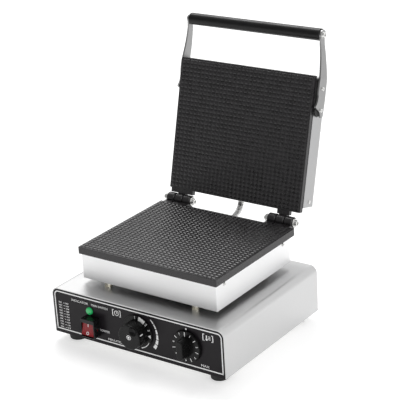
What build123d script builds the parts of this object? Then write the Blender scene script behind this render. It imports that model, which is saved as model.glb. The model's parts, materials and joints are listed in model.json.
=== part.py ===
"""A commercial square thin-waffle iron: a stainless base with a control panel, a cast baking plate on a heated
housing, and a second plate on a hinged upper housing with a bar handle. Millimetres, +Z up. The origin is on the
table, under the middle of the box round the open machine. The machine faces -Y, and its lid hinges along X."""

import math
import os

from build123d import *

os.makedirs("parts", exist_ok=True)

# Base
base_width = 288.0
base_depth = 230.0
base_front = -150.0
base_back = base_front + base_depth
base_bottom = 12.0
base_top = 80.0
base_corner = 10.5
shell_sheet = 1.2
panel_sheet = 1.5
fit_gap = 0.2
foot_x = 120.0
foot_ys = (-130.0, 60.0)
foot_radius = 13.5

# Hinge axis and the two plates, which mirror each other about the plane of the axis when the lid is shut
hinge_y = 86.0
hinge_z = 135.4
open_angle = 105.0
plate_width = 230.0
upper_width = 224.0
plate_near = 14.8
plate_far = 206.8
plate_face = -1.0
plate_back = -11.0
upper_rim_back = -8.0
barrel_radius = 8.0
barrel_pitch = 14.0
barrel_width = 12.9
barrel_chamfer = 1.0
hinge_groups = (-90.0, 85.0)
pin_radius = 3.0

# Housings behind the plates, in the same coordinates as the plates
housing_width = 225.0
housing_sheet = 1.0
housing_far = 203.8
lower_near = 24.5
lower_floor = -47.9
upper_near = 21.0
upper_floor = -33.5

# Handle
grip_along = 262.8
grip_depth = -12.4
grip_radius = 8.6
grip_half = 109.8
arm_sheet = 2.5
arm_foot_x = 115.2
arm_top_x = 110.0

# Controls, as X and Z on the panel
lamp_at = (-78.4, 57.9)
switch_at = (-74.0, 34.8)
timer_at = (3.8, 46.8)
thermostat_at = (84.5, 46.0)
knob_gap = 0.8

# Posts between the base and the lower housing, and the wiring sleeve beside them
post_x = 73.5
post_ys = (-112.0, 49.0)
sleeve_y = -30.0

lean = math.radians(open_angle)
LOWER = Plane(origin=(0, hinge_y, hinge_z), x_dir=(-1, 0, 0), z_dir=(0, 0, 1))
UPPER = Plane(origin=(0, hinge_y, hinge_z), x_dir=(1, 0, 0), z_dir=(0, -math.sin(lean), -math.cos(lean)))


def front_plane(y):
    """An upright plane at y that faces the user: sketches on it are in X and Z."""
    return Plane.XZ.offset(-y)


def raised(frame, height):
    """The plane of a baking plate's frame, moved along the plate's normal."""
    return frame.offset(height)


def side_plane(frame, x):
    """A plane across a frame's X at x: sketches on it are along the plate and along its normal."""
    origin = frame.from_local_coords(Vector(x, 0, 0))
    return Plane(origin=origin, x_dir=frame.y_dir, z_dir=frame.x_dir)


def hinge_end_plane(frame, along):
    """A plane across a frame at a distance along it, facing the hinge: sketches on it are in X and the normal."""
    origin = frame.from_local_coords(Vector(0, along, 0))
    return Plane(origin=origin, x_dir=frame.x_dir, z_dir=-frame.y_dir)


def save(part, label):
    part.part.label = label
    export_step(part.part, f"parts/{label}.step")


def panel_outline(width, top, corner):
    """The base's cross-section: square below and rounded above, from the base's bottom edge up to top."""
    with Locations((0, base_bottom)):
        Rectangle(width, top - base_bottom, align=(Align.CENTER, Align.MIN))
    upper = [v for v in vertices() if v.Y > base_bottom + 1]
    fillet(upper, corner)


# ---------------------------------------------------------------- base

# Folded wrapper: the top and both sides in one sheet
with BuildPart() as base_shell:
    with BuildSketch(front_plane(base_front)):
        panel_outline(base_width, base_top, base_corner)
    extrude(amount=-base_depth)
    with BuildSketch(front_plane(base_front)):
        panel_outline(base_width - 2 * shell_sheet, base_top - shell_sheet, base_corner - shell_sheet)
    extrude(amount=-base_depth, mode=Mode.SUBTRACT)
    with BuildSketch(Plane.XY.offset(base_top)):
        with Locations(*[(x, y) for x in (-post_x, post_x) for y in post_ys]):
            Circle(2.7)
        with Locations((0, sleeve_y)):
            Circle(9.2)
    extrude(amount=-3 * shell_sheet, mode=Mode.SUBTRACT)
save(base_shell, "base_shell")

inner_width = base_width - 2 * shell_sheet - 2 * fit_gap
inner_top = base_top - shell_sheet - fit_gap
inner_corner = base_corner - shell_sheet - fit_gap


def panel_holes(lamp, switch, shaft):
    """The panel's cut-outs: the lamp, the rocker switch and the two control shafts."""
    with Locations(lamp_at):
        Circle(lamp, mode=Mode.SUBTRACT)
    with Locations(switch_at):
        Rectangle(*switch, mode=Mode.SUBTRACT)
    with Locations(timer_at, thermostat_at):
        Circle(shaft, mode=Mode.SUBTRACT)


# Steel front plate that carries the controls
panel_front = base_front + 0.7
with BuildPart() as front_panel:
    with BuildSketch(front_plane(panel_front)):
        panel_outline(inner_width, inner_top, inner_corner)
        panel_holes(4.3, (22.0, 22.8), 5.2)
        with Locations(*[(x + dx, z) for x, z in (timer_at, thermostat_at) for dx in (-14, 14)]):
            Circle(1.7, mode=Mode.SUBTRACT)
    extrude(amount=-panel_sheet)
save(front_panel, "front_panel")

# Black printed sheet bonded over the front plate
with BuildPart() as panel_overlay:
    with BuildSketch(front_plane(panel_front)):
        panel_outline(inner_width, inner_top, inner_corner)
        panel_holes(4.3, (22.0, 22.8), 5.2)
        with Locations(*[(x + dx, z) for x, z in (timer_at, thermostat_at) for dx in (-14, 14)]):
            Circle(3.4, mode=Mode.SUBTRACT)
    extrude(amount=0.6)
save(panel_overlay, "panel_overlay")

# Rear plate with two rows of vent slots and the hole for the mains gland
rear_front = base_back - 0.3 - panel_sheet
gland_at = (-95.0, 34.0)
with BuildPart() as rear_panel:
    with BuildSketch(front_plane(rear_front)):
        panel_outline(inner_width, inner_top, inner_corner)
        with Locations(gland_at):
            Circle(8.1, mode=Mode.SUBTRACT)
        with Locations((30, 46)):
            with GridLocations(14, 26, 12, 2):
                SlotOverall(18, 4, rotation=90, mode=Mode.SUBTRACT)
    extrude(amount=-panel_sheet)
save(rear_panel, "rear_panel")

# Bottom tray with turned-up sides, screwed in between the front and rear plates
tray_front = panel_front + panel_sheet + fit_gap
tray_back = rear_front - fit_gap
tray_width = inner_width - fit_gap
tray_wall = 14.0
with BuildPart() as bottom_plate:
    with BuildSketch(front_plane(tray_front)):
        with Locations((0, base_bottom)):
            Rectangle(tray_width, tray_wall, align=(Align.CENTER, Align.MIN))
        with Locations((0, base_bottom + shell_sheet)):
            Rectangle(
                tray_width - 2 * shell_sheet, tray_wall, align=(Align.CENTER, Align.MIN), mode=Mode.SUBTRACT
            )
    extrude(amount=tray_front - tray_back)
    with BuildSketch(Plane.XY.offset(base_bottom)):
        with Locations(*[(x, y) for x in (-foot_x, foot_x) for y in foot_ys]):
            Circle(2.2)
        with Locations((0, -35)):
            with GridLocations(16, 60, 8, 2):
                SlotOverall(36, 4, rotation=90)
    extrude(amount=shell_sheet, mode=Mode.SUBTRACT)
save(bottom_plate, "bottom_plate")

foot_spots = [(x, y) for x in (-foot_x, foot_x) for y in foot_ys]

# Four moulded rubber feet, each with a recess for its screw
with BuildPart() as feet:
    with BuildSketch(Plane.XY.offset(base_bottom)):
        with Locations(*foot_spots):
            Circle(foot_radius)
    extrude(amount=-base_bottom, taper=6)
    fillet(feet.faces().sort_by(Axis.Z)[:4].edges(), 1.2)
    with BuildSketch(Plane.XY):
        with Locations(*foot_spots):
            Circle(5.0)
    extrude(amount=6, mode=Mode.SUBTRACT)
    with BuildSketch(Plane.XY):
        with Locations(*foot_spots):
            Circle(2.1)
    extrude(amount=base_bottom, mode=Mode.SUBTRACT)
save(feet, "feet")

with BuildPart() as foot_screws:
    with BuildSketch(Plane.XY.offset(3.4)):
        with Locations(*foot_spots):
            Circle(4.0)
    extrude(amount=2.6)
    with BuildSketch(Plane.XY.offset(3.4)):
        with Locations(*foot_spots):
            Circle(2.0)
    extrude(amount=16.6)
save(foot_screws, "foot_screws")

with BuildPart() as foot_nuts:
    with BuildSketch(Plane.XY.offset(base_bottom + shell_sheet)):
        with Locations(*foot_spots):
            RegularPolygon(3.5, 6, major_radius=False)
            Circle(2.05, mode=Mode.SUBTRACT)
    extrude(amount=3.2)
save(foot_nuts, "foot_nuts")

# ---------------------------------------------------------------- posts that carry the lower housing

post_spots = [(x, y) for x in (-post_x, post_x) for y in post_ys]
housing_floor_z = hinge_z + lower_floor

with BuildPart() as standoffs:
    with BuildSketch(Plane.XY.offset(base_top)):
        with Locations(*post_spots):
            Circle(5.4)
            Circle(2.6, mode=Mode.SUBTRACT)
    extrude(amount=2.2)
    with BuildSketch(Plane.XY.offset(base_top + 2.2)):
        with Locations(*post_spots):
            RegularPolygon(4.0, 6, major_radius=False)
            Circle(2.6, mode=Mode.SUBTRACT)
    extrude(amount=housing_floor_z - base_top - 2.2)
save(standoffs, "standoffs")

with BuildPart() as standoff_bolts:
    with BuildSketch(Plane.XY.offset(housing_floor_z + housing_sheet)):
        with Locations(*post_spots):
            RegularPolygon(4.0, 6, major_radius=False)
    extrude(amount=3.4)
    with BuildSketch(Plane.XY.offset(housing_floor_z + housing_sheet)):
        with Locations(*post_spots):
            Circle(2.5)
    extrude(amount=-17.0)
save(standoff_bolts, "standoff_bolts")

with BuildPart() as standoff_nuts:
    with BuildSketch(Plane.XY.offset(base_top - shell_sheet)):
        with Locations(*post_spots):
            RegularPolygon(4.0, 6, major_radius=False)
            Circle(2.55, mode=Mode.SUBTRACT)
    extrude(amount=-4.0)
save(standoff_nuts, "standoff_nuts")

# Silicone sleeve that takes the wires from the base up into the lower housing
with BuildPart() as cable_sleeve:
    with BuildSketch(Plane.XY.offset(base_top - 8)):
        with Locations((0, sleeve_y)):
            Circle(9.0)
            Circle(7.0, mode=Mode.SUBTRACT)
    extrude(amount=19)
save(cable_sleeve, "cable_sleeve")

# ---------------------------------------------------------------- baking plates

web_top = -1.2
block_reach = 8.5


def barrel(frame, x):
    """One knuckle of a hinge, round the axis, with its ends chamfered."""
    straight = barrel_width / 2 - barrel_chamfer
    for side in (-1, 1):
        with BuildSketch(side_plane(frame, x)) as outline:
            Circle(barrel_radius)
        extrude(outline.sketch, amount=side * straight)
        with BuildSketch(side_plane(frame, x + side * straight)) as outline:
            Circle(barrel_radius)
        extrude(outline.sketch, amount=side * barrel_chamfer, taper=45)


def plate_slab(frame, width, back):
    """The cast slab, with slightly rounded corners, from its face to its back."""
    with BuildSketch(raised(frame, back)) as outline:
        with Locations((0, (plate_near + plate_far) / 2)):
            RectangleRounded(width, plate_far - plate_near, 1.2)
    extrude(outline.sketch, amount=plate_face - back)


def side_boss(frame, near, far, depth):
    """A rail cast under each side of a plate, which the housing's side screws go into."""
    rail = housing_width / 2 - housing_sheet - fit_gap
    with BuildSketch(raised(frame, plate_back)) as outline:
        with Locations(*[(side * (rail - 2.0), (near + far) / 2) for side in (-1, 1)]):
            Rectangle(4.0, far - near)
    extrude(outline.sketch, amount=depth - plate_back)


def side_holes(frame, spots, radius):
    """Holes across both side rails, at places along and under the plate."""
    for side in (-1, 1):
        with BuildSketch(side_plane(frame, side * housing_width / 2)) as outline:
            with Locations(*spots):
                Circle(radius)
        extrude(outline.sketch, amount=-side * 6.5, mode=Mode.SUBTRACT)


lower_side_screws = [(42.0, -15.0), (184.5, -15.5)]
upper_side_screws = [(29.0, -23.0)]
arm_screw_spots = [(189.0, -17.0), (159.0, -18.5)]
clamp_alongs = (78.0, 142.0)
clamp_x = 34.0
clamp_spots = [(x, along) for x in (-clamp_x, clamp_x) for along in clamp_alongs]


def clamp_holes(frame):
    """Blind holes in a plate's back for the screws of the element's clamp bars."""
    with BuildSketch(raised(frame, plate_back)) as outline:
        with Locations(*clamp_spots):
            Circle(2.05)
    extrude(outline.sketch, amount=6, mode=Mode.SUBTRACT)


with BuildPart() as lower_plate:
    plate_slab(LOWER, plate_width, plate_back)
    chamfer(lower_plate.faces().sort_by(Axis.Z)[-1].edges(), 0.4)
    side_boss(LOWER, 34, 52, -20.0)
    side_boss(LOWER, 176, 194, -20.0)
    for group in hinge_groups:
        for step in (-1, 1):
            knuckle = -(group + step * barrel_pitch)
            barrel(LOWER, knuckle)
            with BuildSketch(raised(LOWER, plate_back + 3)):
                with Locations((knuckle, plate_near / 2)):
                    Rectangle(barrel_width, plate_near + 1)
            extrude(amount=web_top - plate_back - 3)
    with BuildSketch(side_plane(LOWER, -plate_width / 2)):
        Circle(pin_radius + 0.02)
    extrude(amount=plate_width, mode=Mode.SUBTRACT)
    side_holes(LOWER, lower_side_screws, 1.55)
    clamp_holes(LOWER)
save(lower_plate, "lower_plate")

# The upper plate is stepped: its back sits inside the housing and its rim covers the housing's edge. Its knuckles
# have a wide root, and a heel below that stops the open lid against the lower plate
with BuildPart() as upper_plate:
    plate_slab(UPPER, upper_width, upper_rim_back)
    chamfer(upper_plate.faces().filter_by(lambda f: f.normal_at().dot(UPPER.z_dir) > 0.99).edges(), 0.4)
    with BuildSketch(raised(UPPER, plate_back)) as step:
        with Locations((0, (upper_near + housing_far) / 2)):
            Rectangle(upper_width - 2, housing_far - upper_near - 2 * housing_sheet - 0.8)
    extrude(step.sketch, amount=upper_rim_back - plate_back)
    side_boss(UPPER, 23, 37, -28.0)
    side_boss(UPPER, 150, 197, -24.0)
    for group, root in zip(hinge_groups, (38.0, 20.0)):
        barrel(UPPER, group)
        with BuildSketch(raised(UPPER, upper_rim_back)):
            with Locations((group, (plate_near + block_reach) / 2 + 0.5)):
                Rectangle(root, plate_near - block_reach + 1)
            with Locations((group, plate_near / 2)):
                Rectangle(barrel_width, plate_near)
        extrude(amount=plate_face - upper_rim_back - 0.5)
        with BuildSketch(Plane.YZ.offset(group - barrel_width / 2)):
            with BuildLine():
                Polyline(
                    (hinge_y - plate_near + 0.1, hinge_z - 8.5),
                    (hinge_y - plate_near + 0.1, hinge_z - 3.0),
                    (hinge_y - 3.0, hinge_z - 1.0),
                    (hinge_y - 1.0, hinge_z - 7.8),
                    close=True,
                )
            make_face()
        extrude(amount=barrel_width)
    with BuildSketch(side_plane(UPPER, -plate_width / 2)):
        Circle(pin_radius + 0.06)
    extrude(amount=plate_width, mode=Mode.SUBTRACT)
    side_holes(UPPER, upper_side_screws + arm_screw_spots, 1.55)
    clamp_holes(UPPER)
save(upper_plate, "upper_plate")

# Two hinge bolts, put in from the right, each with a plain washer and a nut
group_half = 1.5 * barrel_pitch
with BuildPart() as hinge_bolts:
    for group in hinge_groups:
        head = group + group_half + 1.2
        with BuildSketch(Plane.YZ.offset(group - group_half - 6.5)):
            with Locations((hinge_y, hinge_z)):
                Circle(pin_radius)
        extrude(amount=head - (group - group_half - 6.5))
        with BuildSketch(Plane.YZ.offset(head)):
            with Locations((hinge_y, hinge_z)):
                Circle(5.0)
        extrude(amount=3.8, taper=12)
        with BuildSketch(Plane.YZ.offset(head + 3.8)):
            with Locations((hinge_y, hinge_z)):
                RegularPolygon(2.0, 6, major_radius=False)
        extrude(amount=-2.4, mode=Mode.SUBTRACT)
save(hinge_bolts, "hinge_bolts")

with BuildPart() as hinge_washers:
    for group in hinge_groups:
        with BuildSketch(Plane.YZ.offset(group + group_half)):
            with Locations((hinge_y, hinge_z)):
                Circle(6.4)
                Circle(pin_radius + 0.1, mode=Mode.SUBTRACT)
        extrude(amount=1.2)
save(hinge_washers, "hinge_washers")

with BuildPart() as hinge_nuts:
    for group in hinge_groups:
        with BuildSketch(Plane.YZ.offset(group - group_half)):
            with Locations((hinge_y, hinge_z)):
                RegularPolygon(4.6, 6, major_radius=False)
                Circle(pin_radius + 0.05, mode=Mode.SUBTRACT)
        extrude(amount=-4.6)
save(hinge_nuts, "hinge_nuts")

# ---------------------------------------------------------------- housings

def housing_box(frame, near, floor, rim):
    """A folded tray that closes the back of a plate: five walls from its floor up to its rim."""
    middle = (near + housing_far) / 2
    with BuildSketch(raised(frame, floor)) as outline:
        with Locations((0, middle)):
            RectangleRounded(housing_width, housing_far - near, 1.2)
    extrude(outline.sketch, amount=rim - floor)
    with BuildSketch(raised(frame, floor + housing_sheet)) as outline:
        with Locations((0, middle)):
            Rectangle(housing_width - 2 * housing_sheet, housing_far - near - 2 * housing_sheet)
    extrude(outline.sketch, amount=rim - floor, mode=Mode.SUBTRACT)


hose_radius = 4.5
lower_gland_at = (-15.0, -31.4)
upper_gland_at = (1.0, -22.0)


def gland_hole(frame, near, spot):
    """The hole in a housing's hinge-side wall for the hose's gland."""
    with BuildSketch(hinge_end_plane(frame, near)) as outline:
        with Locations(spot):
            Circle(5.1)
    extrude(outline.sketch, amount=-2 * housing_sheet, mode=Mode.SUBTRACT)


with BuildPart() as lower_housing:
    housing_box(LOWER, lower_near, lower_floor, plate_back)
    with BuildSketch(Plane.XY.offset(housing_floor_z)):
        with Locations(*post_spots):
            Circle(2.7)
        with Locations((0, sleeve_y)):
            Circle(9.2)
    extrude(amount=housing_sheet, mode=Mode.SUBTRACT)
    gland_hole(LOWER, lower_near, (-lower_gland_at[0], lower_gland_at[1]))
    side_holes(LOWER, lower_side_screws, 1.7)
save(lower_housing, "lower_housing")

with BuildPart() as upper_housing:
    housing_box(UPPER, upper_near, upper_floor, upper_rim_back)
    gland_hole(UPPER, upper_near, upper_gland_at)
    side_holes(UPPER, upper_side_screws + arm_screw_spots, 1.7)
save(upper_housing, "upper_housing")


def side_screws(frame, spots, start, head_radius, head, length):
    """Cross-recessed screws driven in from both sides: the head outside start, and the shank inwards."""
    for side in (-1, 1):
        with BuildSketch(side_plane(frame, side * start)) as outline:
            with Locations(*spots):
                Circle(head_radius)
        extrude(outline.sketch, amount=side * head, taper=20)
        with BuildSketch(side_plane(frame, side * start)) as outline:
            with Locations(*spots):
                Circle(1.5)
        extrude(outline.sketch, amount=-side * length)
        with BuildSketch(side_plane(frame, side * (start + head))) as outline:
            with Locations(*spots):
                Rectangle(0.9 * head_radius, 0.7)
                Rectangle(0.7, 0.9 * head_radius)
        extrude(outline.sketch, amount=-side * 0.7, mode=Mode.SUBTRACT)


with BuildPart() as lower_housing_screws:
    side_screws(LOWER, lower_side_screws, housing_width / 2, 2.8, 1.2, 5.0)
save(lower_housing_screws, "lower_housing_screws")

with BuildPart() as upper_housing_screws:
    side_screws(UPPER, upper_side_screws, housing_width / 2, 2.8, 1.2, 5.0)
save(upper_housing_screws, "upper_housing_screws")

# ---------------------------------------------------------------- heating

element_radius = 3.25
element_depth = plate_back - element_radius - 0.15
element_turn = [(15, 165), (50, 165), (50, 60), (88, 60), (88, 188)]


def heating_element(frame):
    """A tubular element laid in an M under the plate, with both ends turned away from it near the hinge."""
    right = [(x, along, element_depth) for x, along in element_turn]
    left = [(-x, along, z) for x, along, z in reversed(right)]
    ends = [(15, 36, -28), (15, 36, element_depth)]
    route = ends + right + left + [(-x, along, z) for x, along, z in reversed(ends)]
    points = [frame.from_local_coords(Vector(*p)) for p in route]
    with BuildLine():
        path = FilletPolyline(*points, radius=[6] + [14] * (len(points) - 4) + [6])
    with BuildSketch(Plane(origin=path @ 0, z_dir=path % 0)) as outline:
        Circle(element_radius)
    sweep(outline.sketch, path=path)


with BuildPart() as lower_heater:
    heating_element(LOWER)
save(lower_heater, "lower_heater")

with BuildPart() as upper_heater:
    heating_element(UPPER)
save(upper_heater, "upper_heater")

bar_top = element_depth - element_radius - 0.1
bar_sheet = 3.0


def clamp_bars(frame):
    """Two steel bars that press the element against the plate."""
    with BuildSketch(raised(frame, bar_top)) as outline:
        with Locations(*[(0, along) for along in clamp_alongs]):
            Rectangle(196, 12)
        with Locations(*clamp_spots):
            Circle(2.3, mode=Mode.SUBTRACT)
    extrude(outline.sketch, amount=-bar_sheet)


def clamp_screws(frame):
    """The screws of the clamp bars, with their heads under the bars."""
    with BuildSketch(raised(frame, bar_top - bar_sheet)) as outline:
        with Locations(*clamp_spots):
            RegularPolygon(3.5, 6, major_radius=False)
    extrude(outline.sketch, amount=-2.8)
    with BuildSketch(raised(frame, bar_top - bar_sheet)) as outline:
        with Locations(*clamp_spots):
            Circle(2.0)
    extrude(outline.sketch, amount=bar_sheet + 12.0)


blanket_top = -24.2


def blanket(frame, thickness, near):
    """A ceramic-fibre blanket behind the clamp bars, with a hole for the wires."""
    with BuildSketch(raised(frame, blanket_top)) as outline:
        with Locations((0, (near + 196) / 2)):
            RectangleRounded(210, 196 - near, 4)
        with Locations((0, hinge_y - sleeve_y)):
            Circle(11, mode=Mode.SUBTRACT)
    extrude(outline.sketch, amount=-thickness)


with BuildPart() as lower_clamp_bars:
    clamp_bars(LOWER)
save(lower_clamp_bars, "lower_clamp_bars")

with BuildPart() as upper_clamp_bars:
    clamp_bars(UPPER)
save(upper_clamp_bars, "upper_clamp_bars")

with BuildPart() as lower_clamp_screws:
    clamp_screws(LOWER)
save(lower_clamp_screws, "lower_clamp_screws")

with BuildPart() as upper_clamp_screws:
    clamp_screws(UPPER)
save(upper_clamp_screws, "upper_clamp_screws")

with BuildPart() as lower_insulation:
    blanket(LOWER, 8.0, 46)
save(lower_insulation, "lower_insulation")

with BuildPart() as upper_insulation:
    blanket(UPPER, 8.0, 46)
save(upper_insulation, "upper_insulation")

# Thermostat's sensing bulb under the lower plate, between the element's middle legs
bulb_near = 124.0
bulb_far = 184.0
bulb_depth = plate_back - 2.6
with BuildPart() as sensor_bulb:
    end = Plane(origin=LOWER.from_local_coords(Vector(0, bulb_near, bulb_depth)), z_dir=LOWER.y_dir)
    with BuildSketch(end):
        Circle(2.4)
    extrude(amount=bulb_far - bulb_near)
save(sensor_bulb, "sensor_bulb")

# ---------------------------------------------------------------- handle

joggle_low = 203.0
joggle_high = 250.0


def arm(side):
    """A handle arm cut from strip: an eye for the bar, a long bowed shank that leans inwards, and a beaked foot."""
    with BuildSketch(side_plane(UPPER, 0)) as outline:
        with BuildLine():
            front = Spline((grip_along - 4.5, grip_depth + 5.4), (240, -9.8), (222, -10.0), (205, -8.6), (190, -7.8), (180, -8.8))
            beak = Spline(front @ 1, (171, -7.8), (164.5, -3.8), tangents=[(-1, 0), (-1, 0.9)])
            lip = Line(beak @ 1, (162.9, -4.4))
            heel = Spline(lip @ 1, (158, -13.0), (151, -18.5), tangents=[(-0.5, -1), (-1, -0.3)])
            toe = ThreePointArc(heel @ 1, (148.4, -22.4), (151.5, -25.8))
            back = Spline(
                toe @ 1, (168, -27.0), (190, -27.2), (212, -26.0), (232, -23.2), (grip_along - 5.2, grip_depth - 4.6)
            )
            ThreePointArc(back @ 1, (grip_along + 7.0, grip_depth), front @ 0)
        make_face()
        with Locations((grip_along, grip_depth)):
            Circle(2.2, mode=Mode.SUBTRACT)
        with Locations(*arm_screw_spots):
            Circle(1.7, mode=Mode.SUBTRACT)
    extrude(outline.sketch, amount=130 * side)
    low, high = side * arm_foot_x, side * arm_top_x
    step = side * arm_sheet
    with BuildSketch(raised(UPPER, -40)) as outline:
        with BuildLine():
            Polyline(
                (low, 140), (low, joggle_low), (high, joggle_high), (high, 280),
                (high + step, 280), (high + step, joggle_high), (low + step, joggle_low), (low + step, 140),
                close=True,
            )
        make_face()
    extrude(outline.sketch, amount=45, mode=Mode.INTERSECT)


with BuildPart() as arm_left:
    arm(-1)
save(arm_left, "arm_left")

with BuildPart() as arm_right:
    arm(1)
save(arm_right, "arm_right")

# Heat-resistant pads between the arms and the housing
with BuildPart() as arm_pads:
    for side in (-1, 1):
        with BuildSketch(side_plane(UPPER, side * housing_width / 2)):
            with Locations((181, -16.3)):
                RectangleRounded(40, 16.0, 6)
            with Locations((158.5, -15.5)):
                Circle(8.4)
            with Locations(*arm_screw_spots):
                Circle(1.7, mode=Mode.SUBTRACT)
        extrude(amount=side * (arm_foot_x - housing_width / 2))
save(arm_pads, "arm_pads")

with BuildPart() as arm_screws:
    side_screws(UPPER, arm_screw_spots, arm_foot_x + arm_sheet, 3.2, 1.6, 10.0)
save(arm_screws, "arm_screws")

with BuildPart() as handle_grip:
    with BuildSketch(side_plane(UPPER, -grip_half)):
        with Locations((grip_along, grip_depth)):
            Circle(grip_radius)
            Circle(4.1, mode=Mode.SUBTRACT)
    extrude(amount=2 * grip_half)
    chamfer(handle_grip.edges().filter_by(GeomType.CIRCLE).filter_by(lambda e: e.radius > 6), 0.8)
save(handle_grip, "handle_grip")

with BuildPart() as handle_rod:
    with BuildSketch(side_plane(UPPER, -arm_top_x)):
        with Locations((grip_along, grip_depth)):
            Circle(4.0)
    extrude(amount=2 * arm_top_x)
    for side in (-1, 1):
        with BuildSketch(side_plane(UPPER, side * arm_top_x)):
            with Locations((grip_along, grip_depth)):
                Circle(2.05)
        extrude(amount=-side * 14, mode=Mode.SUBTRACT)
save(handle_rod, "handle_rod")

with BuildPart() as handle_end_screws:
    for side in (-1, 1):
        outer = side_plane(UPPER, side * (arm_top_x + arm_sheet))
        with BuildSketch(outer):
            with Locations((grip_along, grip_depth)):
                Circle(5.0)
        extrude(amount=side * 2.6, taper=22)
        with BuildSketch(outer):
            with Locations((grip_along, grip_depth)):
                Circle(2.0)
        extrude(amount=-side * 14)
        with BuildSketch(side_plane(UPPER, side * (arm_top_x + arm_sheet + 2.6))):
            with Locations((grip_along, grip_depth)):
                Rectangle(4.6, 1.1)
                Rectangle(1.1, 4.6)
        extrude(amount=-side * 1.4, mode=Mode.SUBTRACT)
save(handle_end_screws, "handle_end_screws")

# ---------------------------------------------------------------- hose between the two housings

def gland(frame, near, spot):
    """A nipple through the housing's wall, with a locknut inside, a hex outside and a collar for the hose."""
    wall = hinge_end_plane(frame, near)
    steps = ((-3.8, -housing_sheet, 7.0, 6), (-3.8, 1.0, 5.0, 0), (0.0, 4.6, 7.0, 6), (4.6, 9.0, 5.6, 0))
    for start, stop, radius, sides in steps:
        with BuildSketch(wall.offset(start)) as outline:
            with Locations(spot):
                if sides:
                    RegularPolygon(radius, sides, major_radius=False)
                else:
                    Circle(radius)
        extrude(outline.sketch, amount=stop - start)
    with BuildSketch(wall.offset(-3.8)) as outline:
        with Locations(spot):
            Circle(3.4)
    extrude(outline.sketch, amount=12.8, mode=Mode.SUBTRACT)


with BuildPart() as lower_gland:
    gland(LOWER, lower_near, (-lower_gland_at[0], lower_gland_at[1]))
save(lower_gland, "lower_gland")

with BuildPart() as upper_gland:
    gland(UPPER, upper_near, upper_gland_at)
save(upper_gland, "upper_gland")

hose_start = Vector(lower_gland_at[0], hinge_y - lower_near + 9.0, hinge_z + lower_gland_at[1])
hose_end = UPPER.from_local_coords(Vector(upper_gland_at[0], upper_near - 9.0, upper_gland_at[1]))
hose_lead = UPPER.from_local_coords(Vector(upper_gland_at[0], 1.0, upper_gland_at[1]))
hose_route = [hose_start, Vector(lower_gland_at[0], 84, hose_start.Z), Vector(-8, 104.5, 116), hose_lead, hose_end]


def tangent_radii(route):
    """The largest even radius for each corner of a route: 0.45 of its shorter run over the half turn's tangent."""
    radii = []
    for before, corner, after in zip(route, route[1:], route[2:]):
        run_in, run_out = corner - before, after - corner
        half_turn = math.radians(run_in.get_angle(run_out)) / 2
        radii.append(0.45 * min(run_in.length, run_out.length) / math.tan(half_turn))
    return radii


with BuildPart() as conduit_hose:
    with BuildLine():
        hose_path = FilletPolyline(*hose_route, radius=tangent_radii(hose_route))
    with BuildSketch(Plane(origin=hose_path @ 0, z_dir=hose_path % 0)):
        Circle(hose_radius)
    sweep(path=hose_path)
save(conduit_hose, "conduit_hose")
print("hose radii", [round(r, 1) for r in tangent_radii(hose_route)], "length", round(hose_path.length, 1))

# ---------------------------------------------------------------- controls

lens_radius = 5.3
with BuildPart() as pilot_lens:
    with BuildSketch(front_plane(panel_front - 0.6)):
        with Locations(lamp_at):
            Circle(lens_radius)
    extrude(amount=3.0)
    fillet(pilot_lens.faces().sort_by(Axis.Y)[0].edges(), 1.8)
    with BuildSketch(front_plane(panel_front - 0.6)):
        with Locations(lamp_at):
            Circle(4.1)
    extrude(amount=-6.3)
save(pilot_lens, "pilot_lens")

with BuildPart() as pilot_body:
    with BuildSketch(front_plane(panel_front + panel_sheet)):
        with Locations(lamp_at):
            Circle(6.8)
            Circle(4.2, mode=Mode.SUBTRACT)
    extrude(amount=-4.4)
    with BuildSketch(front_plane(panel_front + panel_sheet + 4.9)):
        with Locations(lamp_at):
            Circle(4.1)
    extrude(amount=-18.0)
    with BuildSketch(front_plane(panel_front + panel_sheet + 4.4)):
        with Locations(lamp_at):
            Circle(6.8)
    extrude(amount=-0.8)
save(pilot_body, "pilot_body")

# Rocker switch: a deep hooded guard in front of the panel, a body behind it, and four contact tabs
guard_size = (23.6, 27.6)
guard_rise = 2.4
guard_depth = 13.5
rocker_opening = (20.8, 21.0)
pocket_depth = 3.0
overlay_front = panel_front - 0.6
rocker_pivot_y = overlay_front - 6.0
with BuildPart() as switch_body:
    with BuildSketch(front_plane(overlay_front)):
        with Locations((switch_at[0], switch_at[1] + guard_rise)):
            RectangleRounded(*guard_size, 2.0)
    extrude(amount=guard_depth)
    chamfer(switch_body.faces().sort_by(Axis.Y)[0].edges(), 0.6)
    with BuildSketch(front_plane(overlay_front)):
        with Locations(switch_at):
            Rectangle(21.6, 22.4)
    extrude(amount=-21.0)
    with BuildSketch(front_plane(overlay_front + pocket_depth)):
        with Locations(switch_at):
            Rectangle(*rocker_opening)
    extrude(amount=guard_depth + pocket_depth, mode=Mode.SUBTRACT)
    with BuildSketch(front_plane(overlay_front + 21.0)):
        with Locations(*[(switch_at[0] + dx, switch_at[1] + dz) for dx in (-6, 6) for dz in (-5, 5)]):
            Rectangle(0.8, 6.3)
    extrude(amount=-9.0)
    with BuildSketch(Plane.YZ.offset(switch_at[0] - guard_size[0] / 2)):
        with Locations((rocker_pivot_y, switch_at[1])):
            Circle(1.25)
    extrude(amount=guard_size[0], mode=Mode.SUBTRACT)
save(switch_body, "switch_body")

rocker_tilt = 12.0
rocker_width = 20.0


def rocker_point(forward, up):
    """A point of the rocker's profile, given level, turned to where its top is pressed in."""
    turn = math.radians(rocker_tilt)
    y = -forward * math.cos(turn) + up * math.sin(turn)
    z = up * math.cos(turn) + forward * math.sin(turn)
    return (rocker_pivot_y + y, switch_at[1] + z)


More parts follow.
